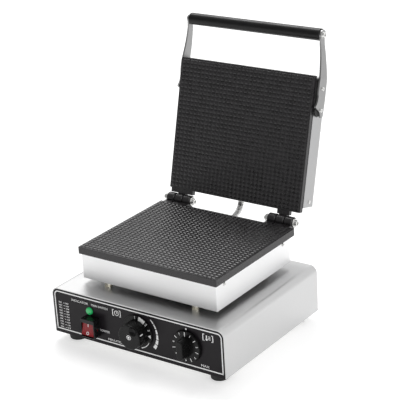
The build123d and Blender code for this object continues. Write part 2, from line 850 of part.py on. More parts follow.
with BuildPart() as power_rocker:
    with BuildSketch(Plane.YZ.offset(switch_at[0] - rocker_width / 2)):
        with BuildLine():
            face_low = rocker_point(6.8, -8.8)
            face_high = rocker_point(6.8, 8.8)
            ThreePointArc(face_low, rocker_point(6.1, 0), face_high)
            Polyline(face_high, rocker_point(1.2, 9.9), rocker_point(-3.0, 8.6), rocker_point(-3.6, 3.0))
            ThreePointArc(rocker_point(-3.6, 3.0), rocker_point(-4.4, 0), rocker_point(-3.6, -3.0))
            Polyline(rocker_point(-3.6, -3.0), rocker_point(-3.0, -8.6), rocker_point(1.2, -9.9), face_low)
        make_face()
    extrude(amount=rocker_width)
    with BuildSketch(Plane.YZ.offset(switch_at[0] - rocker_width / 2 - 1.2)):
        with Locations((rocker_pivot_y, switch_at[1])):
            Circle(1.2)
    extrude(amount=rocker_width + 2.4)
save(power_rocker, "power_rocker")

knob_back = overlay_front - knob_gap

# Timer: a printed dial that turns with the knob, the knob with a finger dimple, its spindle, and the clockwork
dial_radius = 24.4
dial_sheet = 2.0
timer_radius = 18.2
timer_depth = 18.0
with BuildPart() as timer_dial:
    with BuildSketch(front_plane(knob_back)):
        with Locations(timer_at):
            Circle(dial_radius)
            Circle(3.2, mode=Mode.SUBTRACT)
    extrude(amount=dial_sheet)
    chamfer(timer_dial.faces().sort_by(Axis.Y)[0].edges().filter_by(lambda e: e.radius > 20), 0.6)
save(timer_dial, "timer_dial")

with BuildPart() as timer_knob:
    with BuildSketch(front_plane(knob_back - dial_sheet)):
        with Locations(timer_at):
            Circle(timer_radius)
    extrude(amount=timer_depth, taper=1.5)
    fillet(timer_knob.faces().sort_by(Axis.Y)[0].edges(), 1.4)
    dimple = Vector(timer_at[0] + 7.0, knob_back - dial_sheet - timer_depth - 4.0, timer_at[1] + 10.0)
    with Locations(dimple):
        Sphere(7.5, mode=Mode.SUBTRACT)
    with BuildSketch(front_plane(knob_back - dial_sheet)):
        with Locations(timer_at):
            Circle(3.03)
    extrude(amount=12.0, mode=Mode.SUBTRACT)
save(timer_knob, "timer_knob")

spindle_inner = panel_front + panel_sheet + 6.0
spindle_outer = knob_back - dial_sheet - 11.8


def control_spindle(at):
    """A control's round spindle, from inside its body to inside its knob."""
    with BuildSketch(front_plane(spindle_inner)) as outline:
        with Locations(at):
            Circle(3.0)
    extrude(outline.sketch, amount=spindle_inner - spindle_outer)


def control_body(at, profile, depth):
    """A control's body behind the front plate: its threaded neck, its case, and a socket for the spindle."""
    with BuildSketch(front_plane(panel_front + panel_sheet)) as outline:
        with Locations(at):
            profile()
    extrude(outline.sketch, amount=-depth)
    with BuildSketch(front_plane(panel_front + panel_sheet)) as outline:
        with Locations(at):
            Circle(5.0)
    extrude(outline.sketch, amount=panel_sheet)
    with BuildSketch(front_plane(panel_front)) as outline:
        with Locations(at):
            Circle(3.06)
    extrude(outline.sketch, amount=-panel_sheet - 6.3, mode=Mode.SUBTRACT)
    for dx in (-14, 14):
        with BuildSketch(front_plane(panel_front + panel_sheet)) as outline:
            with Locations((at[0] + dx, at[1])):
                Circle(1.55)
        extrude(outline.sketch, amount=-5, mode=Mode.SUBTRACT)


with BuildPart() as timer_spindle:
    control_spindle(timer_at)
save(timer_spindle, "timer_spindle")

with BuildPart() as timer_body:
    control_body(timer_at, lambda: RectangleRounded(46, 42, 6), 30)
save(timer_body, "timer_body")

# Thermostat: a skirted knob with a finger bar, its spindle, and the capillary switch
skirt_radius = 23.0
skirt_sheet = 4.0
bar_depth = 14.0
with BuildPart() as thermostat_knob:
    with BuildSketch(front_plane(knob_back)):
        with Locations(thermostat_at):
            Circle(skirt_radius)
    extrude(amount=skirt_sheet, taper=12)
    fillet(thermostat_knob.faces().sort_by(Axis.Y)[0].edges(), 0.8)
    with BuildSketch(front_plane(knob_back - skirt_sheet)):
        with Locations(thermostat_at):
            SlotOverall(31, 12.6, rotation=90)
    extrude(amount=bar_depth, taper=7)
    fillet(thermostat_knob.faces().sort_by(Axis.Y)[0].edges(), 1.2)
    with BuildSketch(front_plane(knob_back)):
        with Locations(thermostat_at):
            Circle(3.03)
    extrude(amount=dial_sheet + 12.0, mode=Mode.SUBTRACT)
save(thermostat_knob, "thermostat_knob")

with BuildPart() as thermostat_spindle:
    control_spindle(thermostat_at)
save(thermostat_spindle, "thermostat_spindle")

with BuildPart() as thermostat_body:
    control_body(thermostat_at, lambda: Rectangle(36, 34), 27)
save(thermostat_body, "thermostat_body")

with BuildPart() as control_screws:
    spots = [(x + dx, z) for x, z in (timer_at, thermostat_at) for dx in (-14, 14)]
    with BuildSketch(front_plane(panel_front)):
        with Locations(*spots):
            Circle(2.9)
    extrude(amount=1.1)
    with BuildSketch(front_plane(panel_front)):
        with Locations(*spots):
            Circle(1.5)
    extrude(amount=-6.0)
save(control_screws, "control_screws")

# ---------------------------------------------------------------- wiring inside, and the mains inlet

tray_floor = base_bottom + shell_sheet
block_at = (-35.0, 10.0)
with BuildPart() as terminal_block:
    with BuildSketch(Plane.XY.offset(tray_floor)):
        with Locations(block_at):
            RectangleRounded(52, 22, 2)
    extrude(amount=18)
    with BuildSketch(Plane.XY.offset(tray_floor + 18)):
        with Locations(block_at):
            with GridLocations(13, 0, 4, 1):
                Circle(3.2)
    extrude(amount=-7, mode=Mode.SUBTRACT)
save(terminal_block, "terminal_block")


def bent_rod(route, radii, radius):
    """A round wire or tube along straight runs and arcs."""
    with BuildLine():
        path = FilletPolyline(*route, radius=radii)
    with BuildSketch(Plane(origin=path @ 0, z_dir=path % 0)) as outline:
        Circle(radius)
    sweep(outline.sketch, path=path)


# Capillary from the sensing bulb down the sleeve to the thermostat
bulb_end = LOWER.from_local_coords(Vector(0, bulb_near, bulb_depth))
with BuildPart() as capillary_tube:
    bent_rod(
        [
            bulb_end,
            Vector(0, sleeve_y, bulb_end.Z),
            Vector(0, sleeve_y, 60),
            Vector(70, -84, 60),
            Vector(84.5, -90, 60),
            Vector(84.5, panel_front + panel_sheet + 27, 60),
        ],
        [4, 12, 20, 8],
        0.9,
    )
save(capillary_tube, "capillary_tube")

# Heat-resistant wires: two to each element by way of the sleeve and the hose, and three between the controls
block_top = tray_floor + 11.0
wire_radius = 1.3
with BuildPart() as wiring_loom:
    for side in (-1, 1):
        sleeve_x = side * 4.2
        bent_rod(
            [
                Vector(block_at[0] + side * 6.5, block_at[1], block_top + 0.2),
                Vector(block_at[0] + side * 6.5, block_at[1], 66 + 4 * side),
                Vector(sleeve_x, sleeve_y, 66 + 4 * side),
                Vector(sleeve_x, sleeve_y, 97 + 1.5 * side),
                Vector(side * 15, 50, 97 + 1.5 * side),
                Vector(side * 15, 50, hinge_z - 28.2),
            ],
            [8, 8, 6, 5],
            wire_radius,
        )
    for dx, target in ((-19.5, (switch_at[0] + 6, switch_at[1])), (19.5, timer_at)):
        reach = base_front + 34 if dx < 0 else panel_front + panel_sheet + 30
        bent_rod(
            [
                Vector(block_at[0] + dx, block_at[1], block_top + 0.2),
                Vector(block_at[0] + dx, block_at[1], 44),
                Vector(target[0] - 10, reach + 40, 44),
                Vector(target[0] - 10, reach, 44),
            ],
            [9, 9],
            wire_radius,
        )
save(wiring_loom, "wiring_loom")

# Mains gland in the rear plate: the lead goes through its bore
cable_radius = 4.0
with BuildPart() as cable_gland:
    wall = rear_front + panel_sheet
    steps = ((wall, 4.0, 11.0), (wall + 4.0, 12.0, 8.6), (rear_front - 4.0, 4.0, 11.0), (rear_front, panel_sheet, 8.0))
    for start, length, radius in steps:
        with BuildSketch(front_plane(start)):
            with Locations(gland_at):
                if radius > 10:
                    RegularPolygon(radius, 6, major_radius=False)
                else:
                    Circle(radius)
        extrude(amount=-length)
    fillet(cable_gland.faces().sort_by(Axis.Y)[-1].edges(), 2.0)
    with BuildSketch(front_plane(rear_front - 4.0)):
        with Locations(gland_at):
            Circle(cable_radius)
    extrude(amount=-30, mode=Mode.SUBTRACT)
save(cable_gland, "cable_gland")
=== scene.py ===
"""The finished look of a commercial square waffle iron, built in metres round its packed working parts."""

import json
import math

import bmesh
import bpy
from mathutils import Matrix, Vector


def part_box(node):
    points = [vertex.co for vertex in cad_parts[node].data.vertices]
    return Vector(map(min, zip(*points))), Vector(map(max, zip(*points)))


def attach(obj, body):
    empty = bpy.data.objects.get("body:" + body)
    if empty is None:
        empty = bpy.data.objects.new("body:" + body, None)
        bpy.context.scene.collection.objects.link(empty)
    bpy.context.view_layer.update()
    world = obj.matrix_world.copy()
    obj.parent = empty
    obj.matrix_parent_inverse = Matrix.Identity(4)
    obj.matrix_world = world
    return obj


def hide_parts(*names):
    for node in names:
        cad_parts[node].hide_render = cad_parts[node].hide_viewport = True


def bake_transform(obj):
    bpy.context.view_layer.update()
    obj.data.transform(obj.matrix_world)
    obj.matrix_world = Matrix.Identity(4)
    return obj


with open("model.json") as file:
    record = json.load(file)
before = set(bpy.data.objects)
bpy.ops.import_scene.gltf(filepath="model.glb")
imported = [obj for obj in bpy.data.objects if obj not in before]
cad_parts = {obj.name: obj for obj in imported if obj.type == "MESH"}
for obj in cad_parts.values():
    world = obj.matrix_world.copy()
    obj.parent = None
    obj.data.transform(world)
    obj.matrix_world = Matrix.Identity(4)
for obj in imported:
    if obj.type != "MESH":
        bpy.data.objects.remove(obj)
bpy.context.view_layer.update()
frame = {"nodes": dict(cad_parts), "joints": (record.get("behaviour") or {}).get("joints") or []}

# ---------------------------------------------------------------- camera
# A studio view from above the right-hand front corner, through a long lens, with the camera rolled a
# little so that the machine's uprights stand straight in the picture.

camera_azimuth = math.radians(36.399)
camera_elevation = math.radians(21.736)
camera_roll = math.radians(-3.432)
camera_distance = 1.9465
camera_aim = Vector((0.03432, -0.035, 0.20024))

lens = bpy.data.cameras.new("studio_camera")
lens.lens = 130.53
lens.sensor_width = 36.0
camera = bpy.data.objects.new("studio_camera", lens)
bpy.context.scene.collection.objects.link(camera)
back = Vector((
    math.sin(camera_azimuth) * math.cos(camera_elevation),
    -math.cos(camera_azimuth) * math.cos(camera_elevation),
    math.sin(camera_elevation),
))
right = Vector((0, 0, 1)).cross(back).normalized()
upright = Matrix((right, back.cross(right), back)).transposed()
camera.matrix_world = (
    Matrix.Translation(camera_aim + back * camera_distance)
    @ upright.to_4x4()
    @ Matrix.Rotation(camera_roll, 4, "Z")
)
bpy.context.scene.camera = camera

# ---------------------------------------------------------------- stainless sheet
# The base, the two housings and the handle's arms are satin stainless sheet, 1 to 2.5 mm thick, cut,
# folded and brushed along its length. Handling leaves faint smears. It is one steel, but its colour holds
# painted light and shade: the lower housing is painted lighter, and the lid and the arms are painted darker.


def new_material(name):
    """An empty node material, with its output and one Principled shader."""
    material = bpy.data.materials.new(name)
    material.use_nodes = True
    tree = material.node_tree
    tree.nodes.clear()
    shader = tree.nodes.new("ShaderNodeBsdfPrincipled")
    output = tree.nodes.new("ShaderNodeOutputMaterial")
    tree.links.new(shader.outputs["BSDF"], output.inputs["Surface"])
    return material, tree, shader


def new_group(name, inputs, outputs):
    """A shader node group with named sockets: vectors, floats and colours."""
    group = bpy.data.node_groups.new(name, "ShaderNodeTree")
    for direction, sockets in (("INPUT", inputs), ("OUTPUT", outputs)):
        for label, kind, default in sockets:
            socket = group.interface.new_socket(name=label, in_out=direction, socket_type=kind)
            if default is not None:
                socket.default_value = default
    return group, group.nodes.new("NodeGroupInput"), group.nodes.new("NodeGroupOutput")


def place_group(tree, group, **values):
    """A group's node in a material's tree, with its inputs set."""
    node = tree.nodes.new("ShaderNodeGroup")
    node.node_tree = group
    for label, value in values.items():
        node.inputs[label.replace("_", " ")].default_value = value
    return node


def set_shader(shader, **values):
    """Sets a Principled shader's own sockets by name."""
    for label, value in values.items():
        shader.inputs[label.replace("_", " ")].default_value = value


def dress(names, material):
    """Gives CAD nodes a material."""
    for name in names:
        frame["nodes"][name].data.materials.clear()
        frame["nodes"][name].data.materials.append(material)


float_socket = "NodeSocketFloat"
vector_socket = "NodeSocketVector"
color_socket = "NodeSocketColor"

brushing, brushing_in, brushing_out = new_group(
    "brushed grain",
    [
        ("Vector", vector_socket, None), ("Scale", vector_socket, (40, 40, 40)),
        ("Rough low", float_socket, 0.25), ("Rough high", float_socket, 0.4),
        ("Dark", color_socket, (0.5, 0.5, 0.5, 1)), ("Light", color_socket, (0.7, 0.7, 0.7, 1)),
    ],
    [("Color", color_socket, None), ("Roughness", float_socket, None), ("Height", float_socket, None)],
)
brush_scale = brushing.nodes.new("ShaderNodeVectorMath")
brush_scale.operation = "MULTIPLY"
brush_lines = brushing.nodes.new("ShaderNodeTexNoise")
brush_lines.inputs["Scale"].default_value = 1.0
brush_lines.inputs["Detail"].default_value = 4.0
smears = brushing.nodes.new("ShaderNodeTexNoise")
smears.inputs["Scale"].default_value = 9.0
smears.inputs["Detail"].default_value = 3.0
brush_rough = brushing.nodes.new("ShaderNodeMapRange")
brush_rough.inputs["From Min"].default_value = 0.3
brush_rough.inputs["From Max"].default_value = 0.7
brush_color = brushing.nodes.new("ShaderNodeMix")
brush_color.data_type = "RGBA"
brush_blend = brushing.nodes.new("ShaderNodeMath")
brush_blend.operation = "MULTIPLY_ADD"
brush_blend.inputs[1].default_value = 0.45
brushing.links.new(brushing_in.outputs["Vector"], brush_scale.inputs[0])
brushing.links.new(brushing_in.outputs["Scale"], brush_scale.inputs[1])
brushing.links.new(brush_scale.outputs[0], brush_lines.inputs["Vector"])
brushing.links.new(brushing_in.outputs["Vector"], smears.inputs["Vector"])
brushing.links.new(brush_lines.outputs["Fac"], brush_blend.inputs[0])
brushing.links.new(smears.outputs["Fac"], brush_blend.inputs[2])
brushing.links.new(smears.outputs["Fac"], brush_rough.inputs["Value"])
brushing.links.new(brushing_in.outputs["Rough low"], brush_rough.inputs["To Min"])
brushing.links.new(brushing_in.outputs["Rough high"], brush_rough.inputs["To Max"])
brushing.links.new(brush_blend.outputs[0], brush_color.inputs["Factor"])
brushing.links.new(brushing_in.outputs["Dark"], brush_color.inputs[6])
brushing.links.new(brushing_in.outputs["Light"], brush_color.inputs[7])
brushing.links.new(brush_color.outputs[2], brushing_out.inputs["Color"])
brushing.links.new(brush_rough.outputs[0], brushing_out.inputs["Roughness"])
brushing.links.new(brush_lines.outputs["Fac"], brushing_out.inputs["Height"])


def brushed_metal(name, scale, dark, light, rough, bump=0.02):
    """A metal with fine lines along the axis whose scale is smallest."""
    material, tree, shader = new_material(name)
    set_shader(shader, Metallic=1.0)
    place = tree.nodes.new("ShaderNodeTexCoord")
    grain = place_group(
        tree, brushing, Scale=scale, Dark=(*dark, 1), Light=(*light, 1),
        Rough_low=rough[0], Rough_high=rough[1],
    )
    relief = tree.nodes.new("ShaderNodeBump")
    relief.inputs["Strength"].default_value = bump
    relief.inputs["Distance"].default_value = 0.0004
    tree.links.new(place.outputs["Object"], grain.inputs["Vector"])
    tree.links.new(grain.outputs["Color"], shader.inputs["Base Color"])
    tree.links.new(grain.outputs["Roughness"], shader.inputs["Roughness"])
    tree.links.new(grain.outputs["Height"], relief.inputs["Height"])
    tree.links.new(relief.outputs["Normal"], shader.inputs["Normal"])
    return material


def grey(level):
    """A colour with no hue."""
    return (level, level, level)


across_sheet = (25, 900, 900)
down_arm = (900, 120, 30)
base_steel = brushed_metal("base_stainless", across_sheet, (0.54, 0.54, 0.545), grey(0.62), (0.32, 0.42))
# Painted light: the same steel made lighter for the lower housing.
housing_steel_painted_light = brushed_metal("housing_stainless_painted_light", across_sheet, (0.80, 0.80, 0.81), grey(0.88), (0.42, 0.52))
# Painted shade: the same steel made darker for the lid.
lid_steel_painted_shade = brushed_metal("lid_stainless_painted_shade", across_sheet, (0.34, 0.34, 0.35), grey(0.43), (0.3, 0.4))
# Painted shade: the same steel made darker still for the arms.
arm_steel_painted_shade = brushed_metal("arm_stainless_painted_shade", down_arm, grey(0.26), grey(0.34), (0.28, 0.4))
dress(["base_shell", "rear_panel"], base_steel)
dress(["lower_housing"], housing_steel_painted_light)
dress(["upper_housing"], lid_steel_painted_shade)
dress(["arm_left", "arm_right"], arm_steel_painted_shade)

# ---------------------------------------------------------------- fasteners and plated fittings
# Screws, nuts, washers and the plain steel parts inside are zinc plated. The posts under the lower
# housing and the hose's glands are nickel plated, which is a little yellower.

zinc = brushed_metal("zinc_plate", (300, 300, 300), (0.62, 0.62, 0.60), (0.80, 0.80, 0.79), (0.18, 0.34))
nickel = brushed_metal("nickel_plate", (400, 400, 120), (0.66, 0.62, 0.50), (0.86, 0.83, 0.72), (0.14, 0.28))
dress([
    "foot_screws", "foot_nuts", "standoff_bolts", "standoff_nuts", "hinge_bolts", "hinge_washers",
    "hinge_nuts", "lower_housing_screws", "upper_housing_screws", "arm_screws", "handle_end_screws",
    "handle_rod", "control_screws", "timer_spindle", "thermostat_spindle", "front_panel", "bottom_plate",
    "lower_clamp_bars", "upper_clamp_bars", "lower_clamp_screws", "upper_clamp_screws",
], zinc)
dress(["standoffs", "lower_gland", "upper_gland"], nickel)

# ---------------------------------------------------------------- baking plates
# Each plate is one iron casting with a dull black non-stick coat. Its face is a grid of small domed
# cells, 32 across and 31 from front to back, inside a narrow flat margin, to print the wafer.

coat, coat_in, coat_out = new_group(
    "speckled coat",
    [
        ("Vector", vector_socket, None), ("Scale", float_socket, 900.0),
        ("Dark", color_socket, (0.01, 0.01, 0.01, 1)), ("Light", color_socket, (0.03, 0.03, 0.03, 1)),
        ("Rough low", float_socket, 0.4), ("Rough high", float_socket, 0.6),
    ],
    [("Color", color_socket, None), ("Roughness", float_socket, None), ("Height", float_socket, None)],
)
coat_fine = coat.nodes.new("ShaderNodeTexNoise")
coat_fine.inputs["Detail"].default_value = 3.0
coat_broad = coat.nodes.new("ShaderNodeTexNoise")
coat_broad.inputs["Scale"].default_value = 95.0
coat_broad.inputs["Detail"].default_value = 2.0
coat_mix = coat.nodes.new("ShaderNodeMix")
coat_mix.data_type = "RGBA"
coat_rough = coat.nodes.new("ShaderNodeMapRange")
coat_rough.inputs["From Min"].default_value = 0.3
coat_rough.inputs["From Max"].default_value = 0.7
coat_blend = coat.nodes.new("ShaderNodeMath")
coat_blend.operation = "MULTIPLY"
coat_gain = coat.nodes.new("ShaderNodeMath")
coat_gain.operation = "MULTIPLY"
coat_gain.inputs[1].default_value = 2.0
coat.links.new(coat_in.outputs["Vector"], coat_fine.inputs["Vector"])
coat.links.new(coat_in.outputs["Scale"], coat_fine.inputs["Scale"])
coat.links.new(coat_in.outputs["Vector"], coat_broad.inputs["Vector"])
coat.links.new(coat_fine.outputs["Fac"], coat_blend.inputs[0])
coat.links.new(coat_broad.outputs["Fac"], coat_blend.inputs[1])
coat.links.new(coat_blend.outputs[0], coat_gain.inputs[0])
coat.links.new(coat_gain.outputs[0], coat_mix.inputs["Factor"])
coat.links.new(coat_in.outputs["Dark"], coat_mix.inputs[6])
coat.links.new(coat_in.outputs["Light"], coat_mix.inputs[7])
coat.links.new(coat_broad.outputs["Fac"], coat_rough.inputs["Value"])
coat.links.new(coat_in.outputs["Rough low"], coat_rough.inputs["To Min"])
coat.links.new(coat_in.outputs["Rough high"], coat_rough.inputs["To Max"])
coat.links.new(coat_mix.outputs[2], coat_out.inputs["Color"])
coat.links.new(coat_rough.outputs[0], coat_out.inputs["Roughness"])
coat.links.new(coat_fine.outputs["Fac"], coat_out.inputs["Height"])


def coated(name, dark, light, rough, scale=900.0, bump=0.25, specular=0.5):
    """A dull surface with fine speckle, slow changes of colour and gloss, and a fine relief."""
    material, tree, shader = new_material(name)
    set_shader(shader, Specular_IOR_Level=specular)
    place = tree.nodes.new("ShaderNodeTexCoord")
    grain = place_group(
        tree, coat, Scale=scale, Dark=(*dark, 1), Light=(*light, 1),
        Rough_low=rough[0], Rough_high=rough[1],
    )
    relief = tree.nodes.new("ShaderNodeBump")
    relief.inputs["Strength"].default_value = bump
    relief.inputs["Distance"].default_value = 0.00015
    tree.links.new(place.outputs["Object"], grain.inputs["Vector"])
    tree.links.new(grain.outputs["Color"], shader.inputs["Base Color"])
    tree.links.new(grain.outputs["Roughness"], shader.inputs["Roughness"])
    tree.links.new(grain.outputs["Height"], relief.inputs["Height"])
    tree.links.new(relief.outputs["Normal"], shader.inputs["Normal"])
    return material


plate_coat = coated("plate_non_stick", (0.008, 0.007, 0.008), (0.026, 0.024, 0.026), (0.22, 0.36))
dress(["lower_plate", "upper_plate"], plate_coat)

lid_hinge = next(joint for joint in frame["joints"] if joint["name"] == "lid_hinge")
hinge_point = Vector(lid_hinge["pos_m"])
lid_open = math.radians(lid_hinge["range_deg"][1])

cells_across = 32
cells_deep = 31
plate_margin = 0.0022
plate_near = 0.0148
plate_far = 0.2068
plate_face = -0.001
cell_gap = 0.0008
cell_height = 0.00095
cell_dome = 0.00035
cell_draft = 0.0005
cell_shoulder = 0.0014
cell_skirt = 0.0003

# A plate's own frame: X across, Y away from the hinge, Z out of the baking face
lower_seat = Matrix.Translation(hinge_point) @ Matrix.Rotation(math.pi, 4, "Z")
upper_seat = Matrix.Translation(hinge_point) @ Matrix.Rotation(lid_open - math.pi, 4, "X").inverted()


def finish_piece(name, bm, material, body, seat=None):
    """Cleans a closed mesh, puts its place into its vertices, and makes it a piece that rides on a body."""
    bmesh.ops.remove_doubles(bm, verts=bm.verts[:], dist=1e-6)
    bmesh.ops.recalc_face_normals(bm, faces=bm.faces[:])
    if seat is not None:
        bmesh.ops.transform(bm, matrix=seat, verts=bm.verts[:])
    mesh = bpy.data.meshes.new(name)
    bm.to_mesh(mesh)
    bm.free()
    for face in mesh.polygons:
        face.use_smooth = False
    mesh.materials.append(material)
    piece = bpy.data.objects.new(name, mesh)
    bpy.context.scene.collection.objects.link(piece)
    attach(piece, body)


def cell_field(name, body, seat, half):
    """The grid of domed cells: a sheet whose faces are raised twice, closed below by a thin skirt."""
    across = 2 * (half - plate_margin)
    deep = plate_far - plate_near - 2 * plate_margin
    bm = bmesh.new()
    bmesh.ops.create_grid(bm, x_segments=cells_across, y_segments=cells_deep, size=0.5)
    bmesh.ops.scale(bm, vec=(across, deep, 1), verts=bm.verts[:])
    bmesh.ops.inset_individual(bm, faces=bm.faces[:], thickness=cell_gap / 2, depth=0, use_even_offset=True)
    cell_area = across * deep / (cells_across * cells_deep)
    cells = [f for f in bm.faces if f.calc_area() > 0.5 * cell_area]
    for inward, up in ((cell_draft, cell_height - cell_dome), (cell_shoulder, cell_dome)):
        bmesh.ops.inset_individual(bm, faces=cells, thickness=inward, depth=up, use_even_offset=True)
    rim = [e for e in bm.edges if e.is_boundary]
    skirt = bmesh.ops.extrude_edge_only(bm, edges=rim)["geom"]
    skirt_verts = [v for v in skirt if isinstance(v, bmesh.types.BMVert)]
    bmesh.ops.translate(bm, vec=(0, 0, -cell_skirt), verts=skirt_verts)
    bmesh.ops.holes_fill(bm, edges=[e for e in bm.edges if e.is_boundary])
    centre = Matrix.Translation((0, (plate_near + plate_far) / 2, plate_face + 0.00002))
    finish_piece(name, bm, plate_coat, body, seat @ centre)


cell_field("lower_plate_cells", "base", lower_seat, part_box("lower_plate")[1].x)
cell_field("upper_plate_cells", "lid", upper_seat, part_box("upper_plate")[1].x)

# ---------------------------------------------------------------- handle
# A black heat-resistant tube with a fine satin skin, on a steel rod between the two arms. Pads of a duller
# plastic keep the arms off the hot housing; their near-black colour is painted shade for the gap behind the
# arms.

grip_skin = coated("grip_plastic", grey(0.004), grey(0.010), (0.28, 0.4), scale=1400.0, specular=0.25)
# Painted shade: the pads' near-black colour stands in for the shadow between the arms and the housing.
pad_painted_shade = coated("pad_plastic", grey(0.010), grey(0.022), (0.5, 0.65))
dress(["handle_grip"], grip_skin)
dress(["arm_pads"], pad_painted_shade)

# ---------------------------------------------------------------- hose between the housings
# A grey flexible metal hose carries the upper element's wires over the hinge. It is a strip wound into
# close ribs, 9 mm outside, and it bends in an easy curve from one gland to the other.

hose_radius = 0.0045
hose_rib = 0.0021
hose_route = [
    (-0.0150, 0.0705, 0.1040),
    (-0.0150, 0.0840, 0.1040),
    (-0.0080, 0.1045, 0.1160),
    (0.0010, 0.1075, 0.1307),
    (0.0010, 0.1104, 0.1413),
]


def smooth_line(points):
    """Points along the smooth curve that a hose or cord takes between its ends."""
    curve = bpy.data.curves.new("line", "CURVE")
    curve.dimensions = "3D"
    curve.resolution_u = 24
    spline = curve.splines.new("NURBS")
    spline.points.add(len(points) - 1)
    for point, place in zip(spline.points, points):
        point.co = (*place, 1)
    spline.order_u = 3
    spline.use_endpoint_u = True
    line = bpy.data.objects.new("line", curve)
    mesh = bpy.data.meshes.new_from_object(line)
    found = [v.co.copy() for v in mesh.vertices]
    bpy.data.objects.remove(line)
    bpy.data.curves.remove(curve)
    bpy.data.meshes.remove(mesh)
    return found


def evenly(points, step):
    """The same line with its points a step apart."""
    lengths = [0.0]
    for a, b in zip(points, points[1:]):
        lengths.append(lengths[-1] + (b - a).length)
    count = max(2, round(lengths[-1] / step))
    found, span = [], 0
    for index in range(count + 1):
        target = lengths[-1] * index / count
        while span < len(points) - 2 and lengths[span + 1] < target:
            span += 1
        share = (target - lengths[span]) / (lengths[span + 1] - lengths[span])
        found.append(points[span].lerp(points[span + 1], min(1.0, share)))
    return found


hose_line = evenly(smooth_line(hose_route), hose_rib / 4)
rib_profile = (1.0, 0.975, 0.90, 0.975)
bm = bmesh.new()
ring = bmesh.ops.create_circle(bm, segments=24, radius=hose_radius, cap_ends=True)["verts"]
first_turn = (hose_line[1] - hose_line[0]).to_track_quat("Z", "Y").to_matrix().to_4x4()
bmesh.ops.transform(bm, matrix=Matrix.Translation(hose_line[0]) @ first_turn, verts=ring)
cap = bm.faces[:]
heading = (hose_line[1] - hose_line[0]).normalized()
radius = hose_radius
for index, place in enumerate(hose_line[1:], start=1):
    before = hose_line[index - 1]
    drawn = bmesh.ops.extrude_face_region(bm, geom=cap)["geom"]
    cap = [f for f in drawn if isinstance(f, bmesh.types.BMFace)]
    moved = cap[0].verts[:]
    ahead = hose_line[min(index + 1, len(hose_line) - 1)] - before
    turn = heading.rotation_difference(ahead.normalized()).to_matrix()
    wanted = hose_radius * rib_profile[index % len(rib_profile)]
    bmesh.ops.scale(bm, vec=(wanted / radius,) * 3, verts=moved, space=Matrix.Translation(-before))
    bmesh.ops.rotate(bm, cent=before, matrix=turn, verts=moved)
    bmesh.ops.translate(bm, vec=place - before, verts=moved)
    heading, radius = ahead.normalized(), wanted
bmesh.ops.recalc_face_normals(bm, faces=bm.faces[:])
hose_mesh = bpy.data.meshes.new("hose")
bm.to_mesh(hose_mesh)
bm.free()
for face in hose_mesh.polygons:
    face.use_smooth = True
hose_steel = brushed_metal("hose_steel", (500, 500, 500), grey(0.62), (0.82, 0.82, 0.81), (0.3, 0.5), 0.1)
hose_mesh.materials.append(hose_steel)
hose = bpy.data.objects.new("hose", hose_mesh)
bpy.context.scene.collection.objects.link(hose)
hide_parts("conduit_hose")
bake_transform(hose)

# ---------------------------------------------------------------- control panel
# A black printed film bonded over the steel front, with white ink: a border, ten lines of oven heats in
# two scales, plain labels, two small pictures in brackets, and a wedge of time marks round the timer.

film = coated(
    "panel_film", (0.008, 0.006, 0.008), (0.013, 0.011, 0.013), (0.30, 0.38),
    scale=1600.0, bump=0.05, specular=0.18,
)
dress(["panel_overlay"], film)

# White ink for print, also used for one painted highlight on the timer dial.
white_ink_and_painted_highlight = coated("white_ink_and_painted_highlight", grey(0.90), grey(0.98), (0.4, 0.5), scale=2500.0, bump=0.05)
ink = 0.0002
ink_lift = 0.00008
film_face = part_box("panel_overlay")[0].y
panel_low, panel_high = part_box("base_shell")[0].z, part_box("base_shell")[1].z
panel_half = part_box("base_shell")[1].x


def facing_user(x, y, z, turn=0.0):
    """A place on an upright face: sketches made in X and Y stand up there and face the user."""
    standing = Matrix.Translation((x, y, z)) @ Matrix.Rotation(math.pi / 2, 4, "X")
    return standing @ Matrix.Rotation(turn, 4, "Z")


def add_bar(bm, seat, length, width):
    """A printed stroke along X."""
    bmesh.ops.create_cube(bm, size=1.0, matrix=seat @ Matrix.Diagonal((length, width, ink, 1)))


def add_dot(bm, seat, radius, segments=16):
    """A printed round spot, or a triangle with three segments."""
    bmesh.ops.create_cone(
        bm, cap_ends=True, segments=segments, radius1=radius, radius2=radius, depth=ink, matrix=seat
    )


def add_arc(bm, seat, radius, start, stop, width_start, width_stop, steps):
    """An arc as a band whose width changes, used for print and for one painted highlight: angles in degrees,
    from X towards Y.
    """
    for a, b in zip(range(steps), range(1, steps + 1)):
        angles = [math.radians(start + (stop - start) * share / steps) for share in (a, b)]
        middle = sum(angles) / 2
        width = width_start + (width_stop - width_start) * (a + 0.5) / steps
        length = abs(angles[1] - angles[0]) * radius * 1.04
        out = Matrix.Rotation(middle, 4, "Z") @ Matrix.Translation((radius, 0, 0))
        add_bar(bm, seat @ (out @ Matrix.Rotation(math.pi / 2, 4, "Z")), length, width)


def add_text(bm, seat, words, size, width=None):
    """Printed words, centred, squeezed to a width if one is given."""
    curve = bpy.data.curves.new("words", "FONT")
    curve.body = words
    curve.size = size
    curve.align_x, curve.align_y = "CENTER", "CENTER"
    curve.extrude = ink / 2
    curve.resolution_u = 3
    holder = bpy.data.objects.new("words", curve)
    bpy.context.scene.collection.objects.link(holder)
    bpy.context.view_layer.update()
    mesh = bpy.data.meshes.new_from_object(holder)
    if width is not None:
        across = max(v.co.x for v in mesh.vertices) - min(v.co.x for v in mesh.vertices)
        mesh.transform(Matrix.Diagonal((width / across, 1, 1, 1)))
    mesh.transform(seat)
    bm.from_mesh(mesh)
    bpy.data.objects.remove(holder)
    bpy.data.curves.remove(curve)
    bpy.data.meshes.remove(mesh)


def on_panel(x, z, turn=0.0):
    """A place on the printed film."""
    return facing_user(x, film_face - ink_lift, z, turn)


